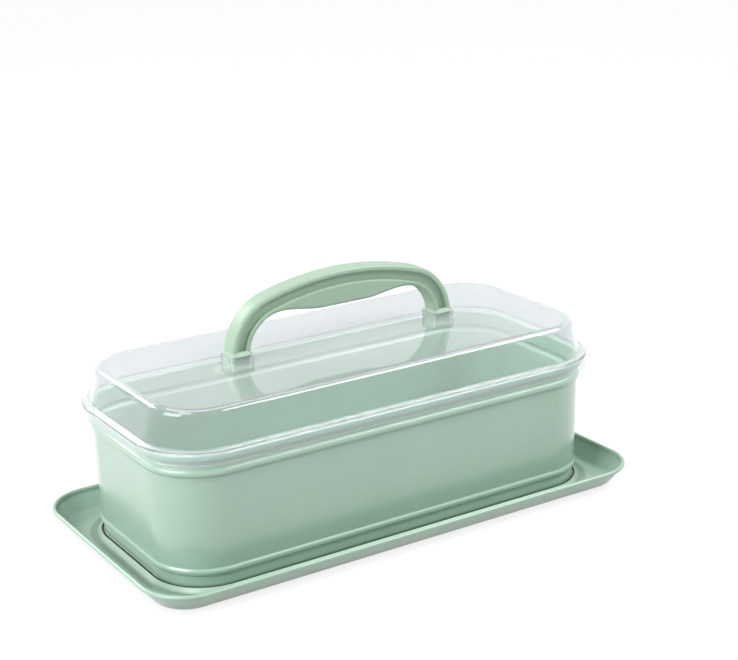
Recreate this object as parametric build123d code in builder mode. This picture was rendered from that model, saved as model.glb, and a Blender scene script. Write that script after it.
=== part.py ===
import os
from math import atan, atan2, cos, degrees, hypot, pi, radians, sin, sqrt, tan

from build123d import *

# A loaf-cake container: tray, box wall, box floor, clear lid and plug-in handle.
# Millimetres. X along the length, Y across, Z up, origin at the middle of the tray's flat foot.

# Box wall, outer face measured at the upper bead's lower edge
wall_half_length = 170.0
wall_half_width = 75.4
wall_corner_radius = 39.0
wall_sheet = 0.7
wall_draft = 0.015

# Heights along the box wall
lower_bead_z = 10.9
lower_bead_tip_z = 13.0
lower_bead_top_z = 15.5
upper_bead_z = 79.0
upper_bead_height = 5.3
rim_top_z = 96.0

# How far each part of the box wall stands out from the wall's outer face
skirt_inset = 1.2
lower_bead_out = 1.15
upper_bead_out = 2.0
neck_out = 0.3
curl_radius = 2.1
curl_drop = 1.6
curl_turn = 245
half_turn = 180

# Rounding where the box wall changes direction
skirt_bend = 0.9
lower_bead_crease = 2.0
upper_bead_crease = 1.0
neck_bend = 0.9

# Tray
tray_sheet = 0.8
tray_half_length = 191.0
tray_half_width = 98.0
tray_corner_radius = 30.8
tray_foot_inset = 9.3
tray_foot_rounding = 7.6
tray_slope_top_z = 11.5
tray_slope_bend = 2.0
tray_floor_overlap = 1.0
tray_curl_z = 13.8
tray_curl_radius = 1.5

# Raised rib of the tray round the foot of the box
rib_gap = 1.9
rib_crown_z = 3.5
rib_crown_width = 1.1
rib_slope_width = 2.7
rib_rounding = 0.5

# Box floor, a panel whose hem hooks round the foot of the box wall
floor_sheet = 0.6
floor_top_z = 4.6
floor_bend = 1.8
hem_height = 1.3
seam_clearance = 0.05
seat_clearance = 0.2

# Clear lid
lid_wall = 1.8
lid_clearance = 1.1
lid_skirt_height = 8.5
lid_ledge_width = 5.0
lid_dome_height = 24.0
lid_dome_draft = 14.5
lid_top_rounding = 5.0
lid_ledge_rounding = 1.4
lid_step_rounding = 0.8

# Sockets on the lid that hold the handle's legs
socket_height = 6.0
socket_wall = 1.8
socket_clearance = 0.3
socket_rounding = 3.6

# Handle, an arch of two big shoulders, a slightly crowned top and a palm swell beneath
handle_width = 14.0
handle_rise = 52.0
handle_half_span = 89.0
handle_depth = 14.0
shoulder_radius = 40.0
crown_radius = 210.0
swell_rise = 27.4
swell_half_length = 16.0
flange_edge = 2.2
recess_depth = 3.0
recess_edge = 0.8
outer_flange = 4.0
inner_flange = 3.4
recess_foot = 7.0
recess_corner = 1.5

# Feet of the handle
foot_flare = 1.3
foot_flare_height = 2.6
flare_overlap = 0.3
foot_seat = 0.1
hook_reach = 9.0
hook_width = 11.0
hook_corner = 1.5
hook_thickness = 3.0
hook_clearance = 0.3

# Distance within which an edge counts as lying on a line
match_distance = 0.05

# Sizes that follow from the ones above
wall_line = wall_half_length - wall_sheet / 2
low_lean = wall_draft * (upper_bead_z - lower_bead_z)
skirt_out = -low_lean - skirt_inset
neck_middle = wall_line + neck_out
curl_middle_radius = curl_radius - wall_sheet / 2
rim_out = neck_out - wall_sheet + 2 * curl_radius
rib_inner_out = skirt_out + rib_gap
seat_z = tray_sheet + seat_clearance
hem_inner_out = skirt_out - wall_sheet - seam_clearance - floor_sheet / 2
hem_outer_out = skirt_out + seam_clearance + floor_sheet / 2
hem_radius = (hem_outer_out - hem_inner_out) / 2
skirt_foot_z = seat_z + hem_radius + floor_sheet / 2
lid_skirt_out = rim_out + lid_clearance + lid_wall
lid_under_z = rim_top_z + seat_clearance
lid_ledge_z = lid_under_z + lid_wall
lid_foot_z = lid_ledge_z - lid_skirt_height
lid_top_z = lid_ledge_z + lid_dome_height
dome_foot_out = lid_skirt_out - lid_ledge_width
dome_slope = tan(radians(lid_dome_draft))
dome_wall = lid_wall / cos(radians(lid_dome_draft))
leg_middle_x = handle_half_span - handle_depth / 2
pocket_length = handle_depth + 2 * socket_clearance
pocket_width = handle_width + 2 * socket_clearance
pocket_rounding = flange_edge + socket_clearance

os.makedirs("parts", exist_ok=True)


def outline(half_length, half_width, radius, out=0.0):
    """Closed rounded rectangle in plan, grown by out on every side.

    It starts at the middle of the +X end, where a section on the XZ plane can sweep round it.
    """
    a = half_length + out
    b = half_width + out
    r = radius + out
    with BuildLine() as path:
        Line((a, 0), (a, b - r))
        RadiusArc((a, b - r), (a - r, b), -r)
        Line((a - r, b), (-a + r, b))
        RadiusArc((-a + r, b), (-a, b - r), -r)
        Line((-a, b - r), (-a, -b + r))
        RadiusArc((-a, -b + r), (-a + r, -b), -r)
        Line((-a + r, -b), (a - r, -b))
        RadiusArc((a - r, -b), (a, -b + r), -r)
        Line((a, -b + r), (a, 0))
    return path.wire()


def box_path():
    """Plan outline of the box wall's outer face."""
    return outline(wall_half_length, wall_half_width, wall_corner_radius)


def box_plan(out):
    """Rounded rectangle of the box wall grown by out, drawn in the sketch that is open."""
    RectangleRounded(
        2 * (wall_half_length + out),
        2 * (wall_half_width + out),
        wall_corner_radius + out,
    )


def soften(section_line, x, z, radius):
    """Round the corner of a section line that lies nearest to x, z."""
    fillet(section_line.vertices().sort_by_distance((x, z, 0))[0], radius)


# Tray: a curled rim, a sloping wall, a flat floor and the rib round the box
tray_line = tray_half_length - tray_sheet / 2
tray_slope = atan2(tray_slope_top_z, tray_foot_inset)
tray_foot_x = tray_half_length - tray_foot_inset - tray_sheet / 2 * tan(tray_slope / 2)
tray_bend_z = tray_slope_top_z + tray_sheet / 2 * tan(pi / 4 - tray_slope / 2)
tray_foot_bend = tray_foot_rounding - tray_sheet / 2
tray_floor_x = tray_foot_x - tray_foot_bend * tan(tray_slope / 2) - tray_floor_overlap
tray_floor_inset = tray_half_length - tray_floor_x
rib_inner_x = wall_half_length + rib_inner_out
rib_outer_x = rib_inner_x + rib_crown_width + rib_slope_width

with BuildPart() as tray:
    with BuildSketch(Plane.XZ) as tray_section:
        with BuildLine() as tray_sheet_line:
            Polyline(
                (tray_floor_x, tray_sheet / 2),
                (tray_foot_x, tray_sheet / 2),
                (tray_line, tray_bend_z),
                (tray_line, tray_curl_z),
            )
            JernArc(
                (tray_line, tray_curl_z),
                (0, 1),
                tray_curl_radius - tray_sheet / 2,
                -curl_turn,
            )
            soften(tray_sheet_line, tray_foot_x, tray_sheet / 2, tray_foot_bend)
            soften(tray_sheet_line, tray_line, tray_bend_z, tray_slope_bend)
        trace(line_width=tray_sheet)
    sweep(path=outline(tray_half_length, tray_half_width, tray_corner_radius))
    with BuildSketch(Plane.XY) as tray_floor:
        RectangleRounded(
            2 * (tray_half_length - tray_floor_inset),
            2 * (tray_half_width - tray_floor_inset),
            tray_corner_radius - tray_floor_inset,
        )
    extrude(amount=tray_sheet)
    with BuildSketch(Plane.XZ) as rib_section:
        with BuildLine():
            Polyline(
                (rib_inner_x, tray_sheet / 2),
                (rib_inner_x, rib_crown_z),
                (rib_inner_x + rib_crown_width, rib_crown_z),
                (rib_outer_x, tray_sheet),
                (rib_outer_x, tray_sheet / 2),
                close=True,
            )
        make_face()
        fillet(rib_section.vertices().sort_by(Axis.Y)[-2:], rib_rounding)
    sweep(path=box_path())
    with BuildSketch(Plane.XZ) as rib_hollow:
        with BuildLine():
            Polyline(
                (rib_inner_x + tray_sheet, 0),
                (rib_inner_x + tray_sheet, rib_crown_z - tray_sheet),
                (rib_inner_x + rib_crown_width, rib_crown_z - tray_sheet),
                (rib_outer_x - tray_sheet, 0),
                close=True,
            )
        make_face()
    sweep(path=box_path(), mode=Mode.SUBTRACT)
tray.part.label = "tray"

# Box wall: necked-in skirt, lower bead, plain wall, upper bead, neck and curled rim
with BuildPart() as box_wall:
    with BuildSketch(Plane.XZ) as wall_section:
        with BuildLine() as sheet_line:
            bead_tip = (wall_line - low_lean + lower_bead_out, lower_bead_tip_z)
            bead_top = (
                wall_line - wall_draft * (upper_bead_z - lower_bead_top_z),
                lower_bead_top_z,
            )
            bead_middle_z = upper_bead_z + upper_bead_height / 2
            skirt_line_x = wall_line + skirt_out
            skirt = Line((skirt_line_x, skirt_foot_z), (skirt_line_x, lower_bead_z))
            lower_bead = ThreePointArc(skirt @ 1, bead_tip, bead_top)
            Line(lower_bead @ 1, (wall_line, upper_bead_z))
            upper_bead = ThreePointArc(
                (wall_line, upper_bead_z),
                (wall_line + upper_bead_out, bead_middle_z),
                (neck_middle, upper_bead_z + upper_bead_height),
            )
            neck = Line(upper_bead @ 1, (neck_middle, rim_top_z - curl_radius))
            rim_bend = JernArc(neck @ 1, (0, 1), curl_middle_radius, -half_turn)
            rim_side = Line(rim_bend @ 1, rim_bend @ 1 - Vector(0, curl_drop))
            JernArc(rim_side @ 1, (0, -1), curl_middle_radius, half_turn - curl_turn)
            soften(sheet_line, skirt_line_x, lower_bead_z, skirt_bend)
            soften(sheet_line, bead_top[0], bead_top[1], lower_bead_crease)
            soften(sheet_line, wall_line, upper_bead_z, upper_bead_crease)
            soften(sheet_line, neck_middle, upper_bead_z + upper_bead_height, neck_bend)
        trace(line_width=wall_sheet)
    sweep(path=box_path())
box_wall.part.label = "box_wall"

# Box floor: a flat panel, turned down inside the skirt and hemmed up round its foot
floor_middle_z = floor_top_z - floor_sheet / 2
hem_inner_x = wall_half_length + hem_inner_out
hem_outer_x = wall_half_length + hem_outer_out

with BuildPart() as box_floor:
    with BuildSketch(Plane.XZ) as hem_section:
        with BuildLine():
            turn_down = RadiusArc(
                (hem_inner_x - floor_bend, floor_middle_z),
                (hem_inner_x, floor_middle_z - floor_bend),
                floor_bend,
            )
            inner_leg = Line(turn_down @ 1, (hem_inner_x, skirt_foot_z))
            hem = ThreePointArc(
                inner_leg @ 1,
                (hem_inner_x + hem_radius, skirt_foot_z - hem_radius),
                (hem_outer_x, skirt_foot_z),
            )
            Line(hem @ 1, (hem_outer_x, skirt_foot_z + hem_height))
        trace(line_width=floor_sheet)
    sweep(path=box_path())
    with BuildSketch(Plane.XY.offset(floor_top_z - floor_sheet)) as floor_panel:
        box_plan(hem_inner_out - floor_bend)
    extrude(amount=floor_sheet)
box_floor.part.label = "box_floor"

# Hollow of the lid: the pocket round the box rim and the space under the dome
with BuildPart() as lid_hollow:
    with BuildSketch(Plane.XY.offset(lid_under_z)) as dome_mouth:
        box_plan(dome_foot_out - dome_wall + lid_wall * dome_slope)
    extrude(amount=lid_top_z - lid_wall - lid_under_z, taper=lid_dome_draft)
    fillet(lid_hollow.edges().group_by(Axis.Z)[-1], lid_top_rounding - lid_wall)
    with BuildSketch(Plane.XY.offset(lid_foot_z)) as skirt_mouth:
        box_plan(lid_skirt_out - lid_wall)
    extrude(amount=lid_under_z - lid_foot_z)


def on_dome_foot(edge):
    """Whether an edge is part of the line where the dome meets the ledge."""
    start = edge @ 0
    on_end = abs(abs(start.X) - wall_half_length - dome_foot_out) < match_distance
    on_side = abs(abs(start.Y) - wall_half_width - dome_foot_out) < match_distance
    return (on_end or on_side) and abs(edge.center().Z - lid_ledge_z) < match_distance


# Lid: skirt, ledge, sloping dome and the two sockets for the handle
with BuildPart() as lid:
    with BuildSketch(Plane.XY.offset(lid_foot_z)) as lid_skirt:
        box_plan(lid_skirt_out)
    extrude(amount=lid_skirt_height)
    fillet(lid.edges().group_by(Axis.Z)[-1], lid_ledge_rounding)
    with BuildSketch(Plane.XY.offset(lid_ledge_z)) as dome_foot:
        box_plan(dome_foot_out)
    extrude(amount=lid_dome_height, taper=lid_dome_draft)
    fillet(lid.edges().filter_by(on_dome_foot), lid_step_rounding)
    fillet(lid.edges().group_by(Axis.Z)[-1], lid_top_rounding)
    add(lid_hollow.part, mode=Mode.SUBTRACT)
    with BuildSketch(Plane.XY.offset(lid_top_z)) as socket_plan:
        with Locations((leg_middle_x, 0), (-leg_middle_x, 0)):
            RectangleRounded(
                pocket_length + 2 * socket_wall,
                pocket_width + 2 * socket_wall,
                socket_rounding,
            )
    extrude(amount=socket_height)
    with BuildSketch(Plane.XY.offset(lid_top_z - lid_wall)) as pocket_plan:
        with Locations((leg_middle_x, 0), (-leg_middle_x, 0)):
            RectangleRounded(pocket_length, pocket_width, pocket_rounding)
    extrude(amount=lid_wall + socket_height, mode=Mode.SUBTRACT)
lid.part.label = "lid"

# Arch of the handle: the crown arc and the shoulder arcs meet tangentially
shoulder_x = handle_half_span - shoulder_radius
centre_gap = crown_radius - shoulder_radius
crown_centre_z = lid_top_z + handle_rise - crown_radius
shoulder_z = crown_centre_z + sqrt(centre_gap**2 - shoulder_x**2)
lean = atan2(shoulder_z - crown_centre_z, shoulder_x)
leg_inner_x = handle_half_span - handle_depth
foot_z = lid_top_z + recess_foot
plug_foot_z = lid_top_z - lid_wall - hook_clearance - hook_thickness


def arch_point(depth, angle):
    """Point at the given depth inside the arch's outer line, at an angle round the right shoulder."""
    r = shoulder_radius - depth
    return (shoulder_x + r * cos(angle), shoulder_z + r * sin(angle))


def arch_at(depth, z):
    """Point at the given depth inside the right shoulder's outer line, at a height."""
    r = shoulder_radius - depth
    return (shoulder_x + sqrt(r**2 - (z - shoulder_z) ** 2), z)


def mirrored(point):
    """The same point on the left half of the handle."""
    return (-point[0], point[1])


def crown_top(depth):
    """Middle of the crown arc at the given depth."""
    return (0, lid_top_z + handle_rise - depth)


def in_recess_outline(point):
    """Whether a point lies within the web's depth band, the foot line included."""
    across = hypot(abs(point.X) - shoulder_x, point.Z - shoulder_z)
    shoulder_depth = shoulder_radius - across
    crown_depth = crown_radius - hypot(point.X, point.Z - crown_centre_z)
    on_crown = abs(point.X) < arch_point(0, lean)[0]
    depth = crown_depth if on_crown else shoulder_depth
    low = outer_flange - match_distance
    high = handle_depth - inner_flange + match_distance
    return low < depth < high or abs(point.Z - foot_z) < match_distance


def at_recess_foot(edge):
    """Whether an edge ends a recess at its lower corners."""
    return abs(edge.center().Z - foot_z) < match_distance


def on_recess_rim(edge):
    """Whether an edge lies in the flat of a side face of the handle, round a recess."""
    in_side_face = abs(abs(edge.center().Y) - handle_width / 2) < match_distance
    return in_side_face and in_recess_outline(edge @ 0.5)


with BuildPart() as handle:
    with BuildSketch(Plane.XZ) as arch_face:
        with BuildLine():
            bend = arch_point(0, lean)
            inner_top = arch_point(handle_depth, radians(90))
            swell = (swell_half_length, lid_top_z + swell_rise)
            ThreePointArc(mirrored(bend), crown_top(0), bend)
            ThreePointArc(bend, arch_point(0, lean / 2), arch_point(0, 0))
            Line(arch_point(0, 0), (handle_half_span, plug_foot_z))
            Line((handle_half_span, plug_foot_z), (leg_inner_x, plug_foot_z))
            Line((leg_inner_x, plug_foot_z), arch_point(handle_depth, 0))
            ThreePointArc(
                arch_point(handle_depth, 0),
                arch_point(handle_depth, radians(45)),
                inner_top,
            )
            Spline(inner_top, swell, tangents=[(-1, 0), (-1, 0)])
            Line(swell, mirrored(swell))
            Spline(mirrored(swell), mirrored(inner_top), tangents=[(-1, 0), (-1, 0)])
            ThreePointArc(
                mirrored(inner_top),
                mirrored(arch_point(handle_depth, radians(45))),
                mirrored(arch_point(handle_depth, 0)),
            )
            Line(mirrored(arch_point(handle_depth, 0)), (-leg_inner_x, plug_foot_z))
            Line((-leg_inner_x, plug_foot_z), (-handle_half_span, plug_foot_z))
            Line((-handle_half_span, plug_foot_z), mirrored(arch_point(0, 0)))
            ThreePointArc(
                mirrored(arch_point(0, 0)),
                mirrored(arch_point(0, lean / 2)),
                mirrored(bend),
            )
        make_face()
    extrude(amount=handle_width / 2, both=True)
    side_edges = handle.faces().sort_by(Axis.Y)[0].edges() + handle.faces().sort_by(Axis.Y)[-1].edges()
    long_edges = side_edges.filter_by(lambda e: e.center().Z > plug_foot_z + hook_thickness / 2)
    fillet(long_edges, flange_edge)

    # Recess in both sides, between the outer and the inner flange
    with BuildSketch(Plane.XZ.offset(handle_width / 2), Plane.XZ.offset(-handle_width / 2)) as recess_face:
        with BuildLine():
            web_outer = outer_flange
            web_inner = handle_depth - inner_flange
            outer_bend = arch_point(web_outer, lean)
            inner_bend = arch_point(web_inner, lean)
            outer_foot = arch_at(web_outer, foot_z)
            inner_foot = arch_at(web_inner, foot_z)
            outer_middle = arch_point(web_outer, lean / 2)
            inner_middle = arch_point(web_inner, lean / 2)
            ThreePointArc(mirrored(outer_bend), crown_top(web_outer), outer_bend)
            ThreePointArc(outer_bend, outer_middle, outer_foot)
            Line(outer_foot, inner_foot)
            ThreePointArc(inner_foot, inner_middle, inner_bend)
            ThreePointArc(inner_bend, crown_top(web_inner), mirrored(inner_bend))
            ThreePointArc(mirrored(inner_bend), mirrored(inner_middle), mirrored(inner_foot))
            Line(mirrored(inner_foot), mirrored(outer_foot))
            ThreePointArc(mirrored(outer_foot), mirrored(outer_middle), mirrored(outer_bend))
        make_face()
    extrude(amount=recess_depth, both=True, mode=Mode.SUBTRACT)
    fillet(handle.edges().filter_by(Axis.Y).filter_by(at_recess_foot), recess_corner)
    fillet(handle.edges().filter_by(on_recess_rim), recess_edge)

    # Flared foot that sits on each socket, and the hook under the lid
    with BuildSketch(Plane.XY.offset(lid_top_z + socket_height + foot_seat)) as flare_plan:
        with Locations((leg_middle_x, 0), (-leg_middle_x, 0)):
            RectangleRounded(
                handle_depth + 2 * foot_flare,
                handle_width + 2 * foot_flare,
                flange_edge + foot_flare,
            )
    flare_angle = degrees(atan((foot_flare + flare_overlap) / foot_flare_height))
    extrude(amount=foot_flare_height, taper=flare_angle)
    hook_length = handle_depth / 2 + hook_reach
    hook_middle_x = leg_middle_x + hook_length / 2
    with BuildSketch(Plane.XY.offset(plug_foot_z)) as hook_plan:
        with Locations((hook_middle_x, 0), (-hook_middle_x, 0)):
            RectangleRounded(hook_length, hook_width, hook_corner)
    extrude(amount=hook_thickness)
handle.part.label = "handle"

for piece in (tray, box_wall, box_floor, lid, handle):
    export_step(piece.part, "parts/" + piece.part.label + ".step")
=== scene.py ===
"""Cake container: finishes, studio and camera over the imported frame."""

import logging
from dataclasses import dataclass
from enum import Enum
from math import cos, radians, sin
from typing import Any, Dict, List, Optional, Tuple, Union

import bpy
import numpy as np
from mathutils import Matrix, Vector

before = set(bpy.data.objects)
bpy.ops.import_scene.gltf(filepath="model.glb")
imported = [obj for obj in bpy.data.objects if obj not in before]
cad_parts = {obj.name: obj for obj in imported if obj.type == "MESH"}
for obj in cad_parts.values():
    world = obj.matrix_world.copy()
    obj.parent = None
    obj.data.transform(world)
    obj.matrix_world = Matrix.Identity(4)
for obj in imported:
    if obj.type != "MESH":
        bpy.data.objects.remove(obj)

log = logging.getLogger("cake_container")

Colour = Tuple[float, float, float]
Point = Tuple[float, float, float]
WHITE: Colour = (1.0, 1.0, 1.0)


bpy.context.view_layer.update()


class Body(Enum):
    """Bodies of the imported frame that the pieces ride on."""

    TRAY = "tray_body"
    BOX = "box_body"
    LID = "lid_body"


class Wire:
    """A shader socket that does arithmetic by adding Math nodes."""

    def __init__(self, recipe: "Recipe", socket: bpy.types.NodeSocket) -> None:
        """Wraps a socket.

        Args:
            recipe: the node tree that the socket belongs to.
            socket: the output socket.
        """
        self.recipe = recipe
        self.socket = socket

    def __add__(self, other: "Value") -> "Wire":
        """Sum."""
        return self.recipe.math("ADD", self, other)

    def __radd__(self, other: float) -> "Wire":
        """Sum with a number first."""
        return self.recipe.math("ADD", other, self)

    def __sub__(self, other: "Value") -> "Wire":
        """Difference."""
        return self.recipe.math("SUBTRACT", self, other)

    def __rsub__(self, other: float) -> "Wire":
        """Number less this value."""
        return self.recipe.math("SUBTRACT", other, self)

    def __mul__(self, other: "Value") -> "Wire":
        """Product."""
        return self.recipe.math("MULTIPLY", self, other)

    def __rmul__(self, other: float) -> "Wire":
        """Product with a number first."""
        return self.recipe.math("MULTIPLY", other, self)

    def __abs__(self) -> "Wire":
        """Size without its sign."""
        return self.recipe.math("ABSOLUTE", self)

    def at_least(self, lowest: float) -> "Wire":
        """This value, or the lowest that is allowed where that is larger."""
        return self.recipe.math("MAXIMUM", self, lowest)

    def smooth(self, low: float, high: float) -> "Wire":
        """Smooth ramp of this value.

        Args:
            low: the value that gives 0.
            high: the value that gives 1.

        Returns:
            A value from 0 to 1.
        """
        settings = {"interpolation_type": "SMOOTHSTEP"}
        inputs = {"Value": self, "From Min": low, "From Max": high}
        return self.recipe.wire("ShaderNodeMapRange", settings, inputs, 0)


Value = Union[Wire, float]


class Recipe:
    """The node tree of one material or of the world."""

    NOISE_MIDDLE = 0.5
    MIX_FIRST = 6
    MIX_SECOND = 7
    MIX_RESULT = 2

    def __init__(self, holder: Union[bpy.types.Material, bpy.types.World]) -> None:
        """Starts an empty tree.

        Args:
            holder: the material or the world that the tree belongs to.
        """
        self.holder = holder
        self.holder.use_nodes = True
        self.tree = holder.node_tree
        self.tree.nodes.clear()

    def node(
        self,
        kind: str,
        settings: Optional[Dict[str, Any]] = None,
        inputs: Optional[Dict[Any, Any]] = None,
    ) -> bpy.types.Node:
        """Adds a node.

        Args:
            kind: the node's type.
            settings: its settings, set first.
            inputs: the value or the link of each of its sockets, by name or number.

        Returns:
            The node.
        """
        made = self.tree.nodes.new(kind)
        for key, value in (settings or {}).items():
            setattr(made, key, value)
        for key, value in (inputs or {}).items():
            socket = made.inputs[key]
            if isinstance(value, Wire):
                self.tree.links.new(value.socket, socket)
            elif isinstance(value, bpy.types.NodeSocket):
                self.tree.links.new(value, socket)
            else:
                socket.default_value = value
        return made

    def wire(
        self,
        kind: str,
        settings: Optional[Dict[str, Any]],
        inputs: Optional[Dict[Any, Any]],
        output: Any,
    ) -> Wire:
        """Adds a node and wraps one of its outputs.

        Args:
            kind: the node's type.
            settings: its settings.
            inputs: its sockets' values or links.
            output: the output's name or number.

        Returns:
            The output as a wire.
        """
        return Wire(self, self.node(kind, settings, inputs).outputs[output])

    def math(self, operation: str, *terms: Any) -> Wire:
        """One Math node.

        Args:
            operation: the node's operation.
            terms: the wires, links or numbers that it works on, in order.

        Returns:
            The node's output.
        """
        return self.wire("ShaderNodeMath", {"operation": operation}, dict(enumerate(terms)), 0)

    def looked_at(self) -> Wire:
        """1 for rays from the camera, from gloss and through clear plastic, and 0 for others."""
        path = self.node("ShaderNodeLightPath")
        share = Wire(self, path.outputs["Is Camera Ray"])
        for ray in ("Is Glossy Ray", "Is Transmission Ray"):
            share = self.math("MAXIMUM", share, path.outputs[ray])
        return share

    def place(self) -> Wire:
        """Object coordinates, in metres in the row frame."""
        return self.wire("ShaderNodeTexCoord", None, None, "Object")

    def axes(self) -> Dict[str, Wire]:
        """Each of the Object coordinates as a wire, by its letter."""
        split = self.node("ShaderNodeSeparateXYZ", None, {0: self.place()})
        return {name: Wire(self, split.outputs[name]) for name in ("X", "Y", "Z")}

    def noise(self, size: float, detail: float) -> Wire:
        """Soft noise about 0, from -0.5 to 0.5.

        Args:
            size: the width of its blotches in metres.
            detail: how many finer layers it has.

        Returns:
            The noise.
        """
        inputs = {"Vector": self.place(), "Scale": 1.0 / size, "Detail": detail}
        return self.wire("ShaderNodeTexNoise", None, inputs, "Fac") - self.NOISE_MIDDLE

    def blend(self, share: Value, first: Any, second: Any) -> Wire:
        """Mixes two colours.

        Args:
            share: the share of the second.
            first: a wire or a colour.
            second: a wire or a colour.

        Returns:
            The mixed colour.
        """
        settings = {"data_type": "RGBA", "clamp_factor": True}
        inputs = {0: share, self.MIX_FIRST: solid(first), self.MIX_SECOND: solid(second)}
        return self.wire("ShaderNodeMix", settings, inputs, self.MIX_RESULT)

    def principled(self, inputs: Dict[str, Any]) -> bpy.types.NodeSocket:
        """Adds a Principled shader.

        Args:
            inputs: its sockets' values or links, by name.

        Returns:
            The shader's output.
        """
        return self.node("ShaderNodeBsdfPrincipled", None, inputs).outputs[0]

    def choose(
        self, share: Value, first: bpy.types.NodeSocket, second: bpy.types.NodeSocket
    ) -> bpy.types.NodeSocket:
        """Mixes two shaders.

        Args:
            share: the share of the second.
            first: a shader's output.
            second: a shader's output.

        Returns:
            The mixed shader's output.
        """
        return self.node("ShaderNodeMixShader", None, {0: share, 1: first, 2: second}).outputs[0]

    def finish(self, surface: bpy.types.NodeSocket) -> Union[bpy.types.Material, bpy.types.World]:
        """Sends a shader to the surface.

        Args:
            surface: the shader's output.

        Returns:
            The finished material or world.
        """
        for_world = isinstance(self.holder, bpy.types.World)
        kind = "ShaderNodeOutputWorld" if for_world else "ShaderNodeOutputMaterial"
        self.node(kind, None, {"Surface": surface})
        return self.holder


def new_recipe(name: str) -> Recipe:
    """The empty recipe of a new material of that name."""
    return Recipe(bpy.data.materials.new(name))


def solid(colour: Any) -> Any:
    """A colour with its alpha, or a wire as it is."""
    return colour if isinstance(colour, Wire) else (*colour, 1.0)


def shade(colour: Colour, factor: float) -> Colour:
    """A colour made darker or lighter by a factor."""
    return tuple(min(channel * factor, 1.0) for channel in colour)


@dataclass(frozen=True)
class Mottle:
    """Faint unevenness of a colour: soft clouds with fine specks on them, sizes in metres."""

    cloud_size: float
    cloud_detail: float
    cloud_share: float
    speck_size: float
    speck_share: float
    spread: float
    speck_detail: float = 2.0

    def paint(self, recipe: Recipe, colour: Colour) -> Wire:
        """The colour made unevenly darker and lighter.

        Args:
            recipe: the node tree that gets the nodes.
            colour: the even colour.

        Returns:
            The uneven colour.
        """
        cloud = recipe.noise(self.cloud_size, self.cloud_detail)
        speck = recipe.noise(self.speck_size, self.speck_detail)
        middle = recipe.NOISE_MIDDLE
        tone = (cloud * self.cloud_share + speck * self.speck_share + middle).smooth(0.0, 1.0)
        return recipe.blend(tone, shade(colour, 1.0 - self.spread), shade(colour, 1.0 + self.spread))


@dataclass(frozen=True)
class Relief:
    """A fine relief that bumps the normal, its size and depth in metres."""

    size: float
    detail: float
    depth: float
    strength: float

    def normal(self, recipe: Recipe) -> Wire:
        """The bumped normal.

        Args:
            recipe: the node tree that gets the nodes.

        Returns:
            The normal.
        """
        height = recipe.noise(self.size, self.detail)
        inputs = {"Height": height, "Distance": self.depth, "Strength": self.strength}
        return recipe.wire("ShaderNodeBump", None, inputs, 0)


@dataclass(frozen=True)
class PaintedShadeBand:
    """A narrow band of painted shade round the foot of the box, sizes in metres.

    Its start and end are distances outside the plan outline of the box wall, and it lies
    between two heights.
    """

    start: float
    end: float
    below: float
    tone: float
    fade: float
    above: float = 0.0007
    above_fade: float = 0.0003
    half_length: float = 0.1700
    half_width: float = 0.0754
    radius: float = 0.0390

    def share(self, recipe: Recipe) -> Wire:
        """How much of a point lies in the band.

        The distance outside a rounded rectangle is the length of the part of the offset from
        its inner rectangle that lies beyond it, less the radius.

        Args:
            recipe: the node tree that gets the nodes.

        Returns:
            1 in the band, 0 outside it.
        """
        axes = recipe.axes()
        past_x = (abs(axes["X"]) - (self.half_length - self.radius)).at_least(0.0)
        past_y = (abs(axes["Y"]) - (self.half_width - self.radius)).at_least(0.0)
        away = recipe.math("SQRT", past_x * past_x + past_y * past_y) - self.radius
        after_start = away.smooth(self.start - self.fade, self.start + self.fade)
        before_end = 1.0 - away.smooth(self.end - self.fade, self.end + self.fade)
        low_enough = 1.0 - axes["Z"].smooth(self.below - self.fade, self.below)
        high_enough = axes["Z"].smooth(self.above - self.above_fade, self.above)
        return after_start * before_end * low_enough * high_enough


@dataclass(frozen=True)
class SatinEnamel:
    """Sprayed and baked sage enamel on sheet metal, with a faint orange peel."""

    name: str
    colour: Colour = (0.298, 0.436, 0.344)
    mottle: Mottle = Mottle(
        cloud_size=0.055, cloud_detail=3.0, cloud_share=0.9, speck_size=0.0011, speck_share=0.35, spread=0.045
    )
    peel: Relief = Relief(size=0.0016, detail=1.0, depth=0.00004, strength=0.5)
    roughness: float = 0.36
    rubbed_size: float = 0.05
    rubbed_detail: float = 2.0
    rubbed_reach: float = 0.08
    bend: float = 1.5
    coat: float = 1.0
    coat_roughness: float = 0.2
    coat_bend: float = 1.55
    painted_shade_heights: Tuple[float, ...] = ()
    painted_shade_reach: float = 0.0008
    painted_shade_depth: float = 0.35
    painted_shade_tone: float = 0.5
    painted_shade_bands: Tuple[PaintedShadeBand, ...] = ()

    def material(self) -> bpy.types.Material:
        """Builds the finish.

        Returns:
            The material: mottled sage, painted shade in creases and at the box's foot, under a clear coat.
        """
        recipe = new_recipe(self.name)
        paint = self.mottle.paint(recipe, self.colour)
        height = recipe.axes()["Z"]
        # Painted shade: a darker line at each given height, such as the bead's undercut.
        for level in self.painted_shade_heights:
            in_painted_shade = 1.0 - abs(height - level).smooth(0.0, self.painted_shade_reach)
            paint = recipe.blend(in_painted_shade * self.painted_shade_depth, paint, shade(self.colour, self.painted_shade_tone))
        # Painted shade: darker bands round the box's foot.
        for shade_band in self.painted_shade_bands:
            paint = recipe.blend(shade_band.share(recipe), paint, shade(self.colour, shade_band.tone))
        rubbed = recipe.noise(self.rubbed_size, self.rubbed_detail)
        shell = recipe.principled(
            {
                "Base Color": paint,
                "Roughness": rubbed * self.rubbed_reach + self.roughness,
                "IOR": self.bend,
                "Coat Weight": self.coat,
                "Coat Roughness": self.coat_roughness,
                "Coat IOR": self.coat_bend,
                "Normal": self.peel.normal(recipe),
            }
        )
        return recipe.finish(shell)


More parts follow.
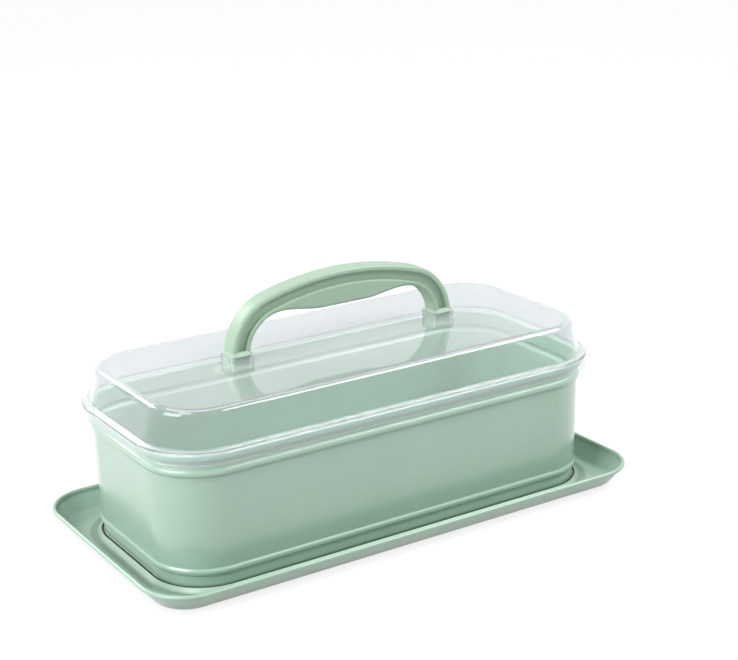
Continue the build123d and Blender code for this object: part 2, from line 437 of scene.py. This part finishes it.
@dataclass(frozen=True)
class MouldedPlastic:
    """Injection-moulded sage plastic with a fine satin grain."""

    name: str = "sage_plastic_satin"
    colour: Colour = (0.306, 0.428, 0.322)
    mottle: Mottle = Mottle(
        cloud_size=0.03, cloud_detail=2.0, cloud_share=0.8, speck_size=0.0009, speck_share=0.4, spread=0.05
    )
    grain: Relief = Relief(size=0.0006, detail=2.0, depth=0.00003, strength=0.45)
    roughness: float = 0.41
    smear_size: float = 0.009
    smear_detail: float = 3.0
    smear_reach: float = 0.08
    bend: float = 1.48
    worn_height: float = 0.172
    worn_fade: float = 0.012
    worn_reach: float = 0.05

    def material(self) -> bpy.types.Material:
        """Builds the finish.

        Returns:
            The material: a slightly clouded base, a fine grain, and a grip polished at the top.
        """
        recipe = new_recipe(self.name)
        height = recipe.axes()["Z"]
        worn = height.smooth(self.worn_height - self.worn_fade, self.worn_height)
        smear = recipe.noise(self.smear_size, self.smear_detail)
        shell = recipe.principled(
            {
                "Base Color": self.mottle.paint(recipe, self.colour),
                "Roughness": smear * self.smear_reach + self.roughness - worn * self.worn_reach,
                "IOR": self.bend,
                "Normal": self.grain.normal(recipe),
            }
        )
        return recipe.finish(shell)


@dataclass(frozen=True)
class ClearPlastic:
    """Clear moulded plastic that lets lamplight through, with a faint haze from wiping."""

    name: str = "clear_plastic_polished"
    colour: Colour = (0.755, 0.775, 0.795)
    hazed_tone: float = 0.985
    haze_size: float = 0.02
    haze_detail: float = 4.0
    haze_reach: float = 0.03
    haze_low: float = 0.2
    haze_high: float = 0.9
    ripple: Relief = Relief(size=0.03, detail=1.0, depth=0.00004, strength=0.4)
    roughness: float = 0.02
    bend: float = 1.49
    veil_colour: Colour = (0.86, 0.885, 0.89)
    veil_roughness: float = 0.25
    veil: float = 0.05
    edge_veil: float = 0.30
    edge_blend: float = 0.5
    shadow_colour: Colour = (0.93, 0.95, 0.945)

    def material(self) -> bpy.types.Material:
        """Builds the finish.

        Clear plastic is mixed with a milky shell, which is strongest where the surface is seen
        edge on: its share grows with the cube of Layer Weight's Facing.

        Returns:
            The material: refracting plastic for what looks through it, open to the lamps' light.
        """
        recipe = new_recipe(self.name)
        haze = recipe.noise(self.haze_size, self.haze_detail)
        tone = (haze + recipe.NOISE_MIDDLE).smooth(self.haze_low, self.haze_high)
        shell = recipe.principled(
            {
                "Base Color": recipe.blend(tone, self.colour, shade(self.colour, self.hazed_tone)),
                "Roughness": haze * self.haze_reach + self.roughness,
                "IOR": self.bend,
                "Transmission Weight": 1.0,
                "Normal": self.ripple.normal(recipe),
            }
        )
        milky = recipe.principled(
            {
                "Base Color": solid(self.veil_colour),
                "Roughness": self.veil_roughness,
                "IOR": self.bend,
            }
        )
        edge_on = recipe.wire("ShaderNodeLayerWeight", None, {"Blend": self.edge_blend}, "Facing")
        veiled = edge_on * edge_on * edge_on * self.edge_veil + haze * self.haze_reach + self.veil
        clouded = recipe.choose(veiled, shell, milky)
        see_through = {"Color": solid(self.shadow_colour)}
        open_shell = recipe.node("ShaderNodeBsdfTransparent", None, see_through).outputs[0]
        to_lamps = recipe.wire("ShaderNodeLightPath", None, None, "Is Shadow Ray")
        return recipe.finish(recipe.choose(to_lamps, clouded, open_shell))


@dataclass(frozen=True)
class PaleFloor:
    """Plain pale studio paper, lit up to white where it is looked at."""

    name: str = "pale_floor"
    colour: Colour = (0.50, 0.50, 0.495)
    seen_share: float = 0.33
    cloud_size: float = 0.25
    cloud_detail: float = 2.0
    spread: float = 0.005
    roughness: float = 0.75
    glow: float = 0.81

    def material(self) -> bpy.types.Material:
        """Builds the finish.

        Returns:
            The material: a matt paper with the faintest mottling, and for rays that look at it
            a darker paper with a white glow, which leaves a soft shadow round the object.
        """
        recipe = new_recipe(self.name)
        cloud = recipe.noise(self.cloud_size, self.cloud_detail)
        tone = (cloud + recipe.NOISE_MIDDLE).smooth(0.0, 1.0)

        def paper(colour: Colour) -> Wire:
            """The colour with the paper's faint mottling."""
            return recipe.blend(tone, shade(colour, 1.0 - self.spread), shade(colour, 1.0 + self.spread))

        plain = recipe.principled({"Base Color": paper(self.colour), "Roughness": self.roughness})
        lit = recipe.principled(
            {
                "Base Color": paper(shade(self.colour, self.seen_share)),
                "Roughness": self.roughness,
                "Emission Color": solid(WHITE),
                "Emission Strength": self.glow,
            }
        )
        return recipe.finish(recipe.choose(recipe.looked_at(), plain, lit))


def dress(node: str, material: bpy.types.Material) -> bpy.types.Object:
    """Gives a CAD node its finish.

    Args:
        node: the node's name.
        material: the finish.

    Returns:
        The node's object.
    """
    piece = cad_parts[node]
    piece.data.materials.clear()
    piece.data.materials.append(material)
    return piece


def report(piece: bpy.types.Object, body: Body) -> None:
    """Logs a finished piece.

    Args:
        piece: the piece's object.
        body: the body that it rides on.
    """
    log.info("%s rides on %s, %d faces", piece.name, body.value, len(piece.data.polygons))


@dataclass
class TrayDish:
    """The shallow outer dish with its curled rim and foot rib."""

    # Painted shade: a dark band in the gap round the box's foot, and a lighter one at the foot of the rib.
    foot_gap_shade: PaintedShadeBand = PaintedShadeBand(start=-0.0019, end=-0.0002, below=0.0036, tone=0.12, fade=0.0005)
    rib_foot_shade: PaintedShadeBand = PaintedShadeBand(start=0.0024, end=0.0078, below=0.0022, tone=0.6, fade=0.0014)
    coat: float = 0.4

    def build(self) -> None:
        """Dresses the dish."""
        enamel = SatinEnamel(
            name="tray_enamel_satin", coat=self.coat, painted_shade_bands=(self.foot_gap_shade, self.rib_foot_shade)
        )
        report(dress("tray", enamel.material()), Body.TRAY)


@dataclass
class CakeBox:
    """The beaded box wall and the floor panel hemmed round its foot."""

    # Painted shade on the lowest 4 mm of the box wall and floor panel, dark like the gap at the foot.
    foot: PaintedShadeBand = PaintedShadeBand(start=-0.0046, end=0.004, below=0.0043, tone=0.12, fade=0.0017)
    # Height of the bead's undercut, along which a line of painted shade runs.
    bead_undercut: float = 0.0109

    def build(self) -> None:
        """Dresses the wall and the floor."""
        wall = SatinEnamel(
            name="box_enamel_satin", painted_shade_heights=(self.bead_undercut,), painted_shade_bands=(self.foot,)
        )
        panel = SatinEnamel(name="floor_enamel_satin", painted_shade_bands=(self.foot,))
        report(dress("box_wall", wall.material()), Body.BOX)
        report(dress("box_floor", panel.material()), Body.BOX)


@dataclass
class ClearLid:
    """The clear domed cover with its two sockets."""

    plastic: ClearPlastic = ClearPlastic()

    def build(self) -> None:
        """Dresses the cover."""
        report(dress("lid", self.plastic.material()), Body.LID)


@dataclass
class CarryHandle:
    """The arched handle that plugs into the lid's sockets."""

    plastic: MouldedPlastic = MouldedPlastic()

    def build(self) -> None:
        """Dresses the handle."""
        report(dress("handle", self.plastic.material()), Body.LID)


@dataclass(frozen=True)
class Softbox:
    """A rectangular studio lamp, its place and sides in metres and its power in watts."""

    name: str
    stand: Point
    width: float
    height: float
    power: float
    colour: Colour = WHITE

    def light(self, aim: Vector) -> None:
        """Puts the lamp up.

        Args:
            aim: the point that it faces.
        """
        lamp = bpy.data.lights.new(self.name, "AREA")
        lamp.shape = "RECTANGLE"
        lamp.size = self.width
        lamp.size_y = self.height
        lamp.energy = self.power
        lamp.color = self.colour
        placed = bpy.data.objects.new(self.name, lamp)
        placed.location = self.stand
        toward = aim - Vector(self.stand)
        placed.rotation_euler = toward.to_track_quat("-Z", "Y").to_euler()
        bpy.context.scene.collection.objects.link(placed)


@dataclass
class Studio:
    """Pale floor, soft lamps, white surroundings and the camera, in metres and degrees."""

    floor_reach: float = 6.0
    floor_rows: int = 24
    backdrop_strength: float = 1.0
    ambient_colour: Colour = (0.97, 0.985, 1.0)
    ambient_strength: float = 0.42
    camera_stand: Point = (-0.5645, -0.9227, 0.4788)
    yaw: float = -32.484
    pitch: float = 17.972
    roll: float = -1.299
    focal_pixels: float = 1637.4
    frame_width: int = 738
    sensor_millimetres: float = 36.0
    lamp_aim: Point = (0.0, 0.0, 0.08)
    lamps: Tuple[Softbox, ...] = (
        Softbox("window_left", (-1.6, -0.2, 0.85), 1.1, 1.0, 24.0, (1.0, 0.98, 0.985)),
        Softbox("window_behind", (-0.65, 1.45, 1.0), 0.9, 0.6, 12.0),
        Softbox("key_right", (0.93, -0.69, 1.26), 1.2, 0.42, 21.0),
        Softbox("spark_left", (-0.72, -0.26, 1.28), 0.5, 0.5, 6.0),
    )

    def floor(self) -> None:
        """Lays the floor: a flat square grid, x and y each running evenly from -reach to reach."""
        steps = np.linspace(-self.floor_reach, self.floor_reach, self.floor_rows)
        across, along = np.meshgrid(steps, steps)
        points = np.stack([across, along, np.zeros_like(across)], axis=-1).reshape(-1, 3)
        index = np.arange(self.floor_rows**2).reshape(self.floor_rows, self.floor_rows)
        corners = [index[:-1, :-1], index[:-1, 1:], index[1:, 1:], index[1:, :-1]]
        faces = np.stack(corners, axis=-1).reshape(-1, len(corners))
        mesh = bpy.data.meshes.new("floor")
        mesh.from_pydata(points.tolist(), [], faces.tolist())
        mesh.materials.append(PaleFloor().material())
        placed = bpy.data.objects.new("floor", mesh)
        bpy.context.scene.collection.objects.link(placed)

    def surroundings(self) -> None:
        """White where the camera, gloss or clear plastic looks, and a soft even light elsewhere."""
        world = bpy.data.worlds.new("studio")
        bpy.context.scene.world = world
        recipe = Recipe(world)
        ambient = {"Color": solid(self.ambient_colour), "Strength": self.ambient_strength}
        backdrop = {"Color": solid(WHITE), "Strength": self.backdrop_strength}
        unseen, seen = (
            recipe.node("ShaderNodeBackground", None, inputs).outputs[0] for inputs in (ambient, backdrop)
        )
        recipe.finish(recipe.choose(recipe.looked_at(), unseen, seen))

    def camera(self) -> None:
        """Puts the camera where the photograph was taken from.

        The view direction follows from the yaw and the downward pitch, and the roll turns the
        picture about it.
        """
        yaw, pitch, roll = radians(self.yaw), radians(self.pitch), radians(self.roll)
        view = Vector((-sin(yaw) * cos(pitch), cos(yaw) * cos(pitch), -sin(pitch)))
        right = Vector((cos(yaw), sin(yaw), 0.0))
        up = right.cross(view)
        tilted_right = cos(roll) * right + sin(roll) * up
        tilted_up = cos(roll) * up - sin(roll) * right
        turn = Matrix((tilted_right, tilted_up, -view)).transposed()
        data = bpy.data.cameras.new("photo_camera")
        data.sensor_fit = "HORIZONTAL"
        data.sensor_width = self.sensor_millimetres
        data.lens = self.sensor_millimetres * self.focal_pixels / self.frame_width
        placed = bpy.data.objects.new("photo_camera", data)
        placed.matrix_world = Matrix.Translation(self.camera_stand) @ turn.to_4x4()
        bpy.context.scene.collection.objects.link(placed)
        bpy.context.scene.camera = placed

    def build(self) -> None:
        """Sets up the whole studio."""
        self.floor()
        self.surroundings()
        for lamp in self.lamps:
            lamp.light(Vector(self.lamp_aim))
        self.camera()
        bpy.context.scene.view_settings.view_transform = "Standard"


def main() -> None:
    """Builds the container from the tray up, then the studio."""
    logging.basicConfig(level=logging.INFO, format="%(name)s: %(message)s")
    for assembly in (TrayDish(), CakeBox(), ClearLid(), CarryHandle(), Studio()):
        assembly.build()


if __name__ == "__main__":
    main()
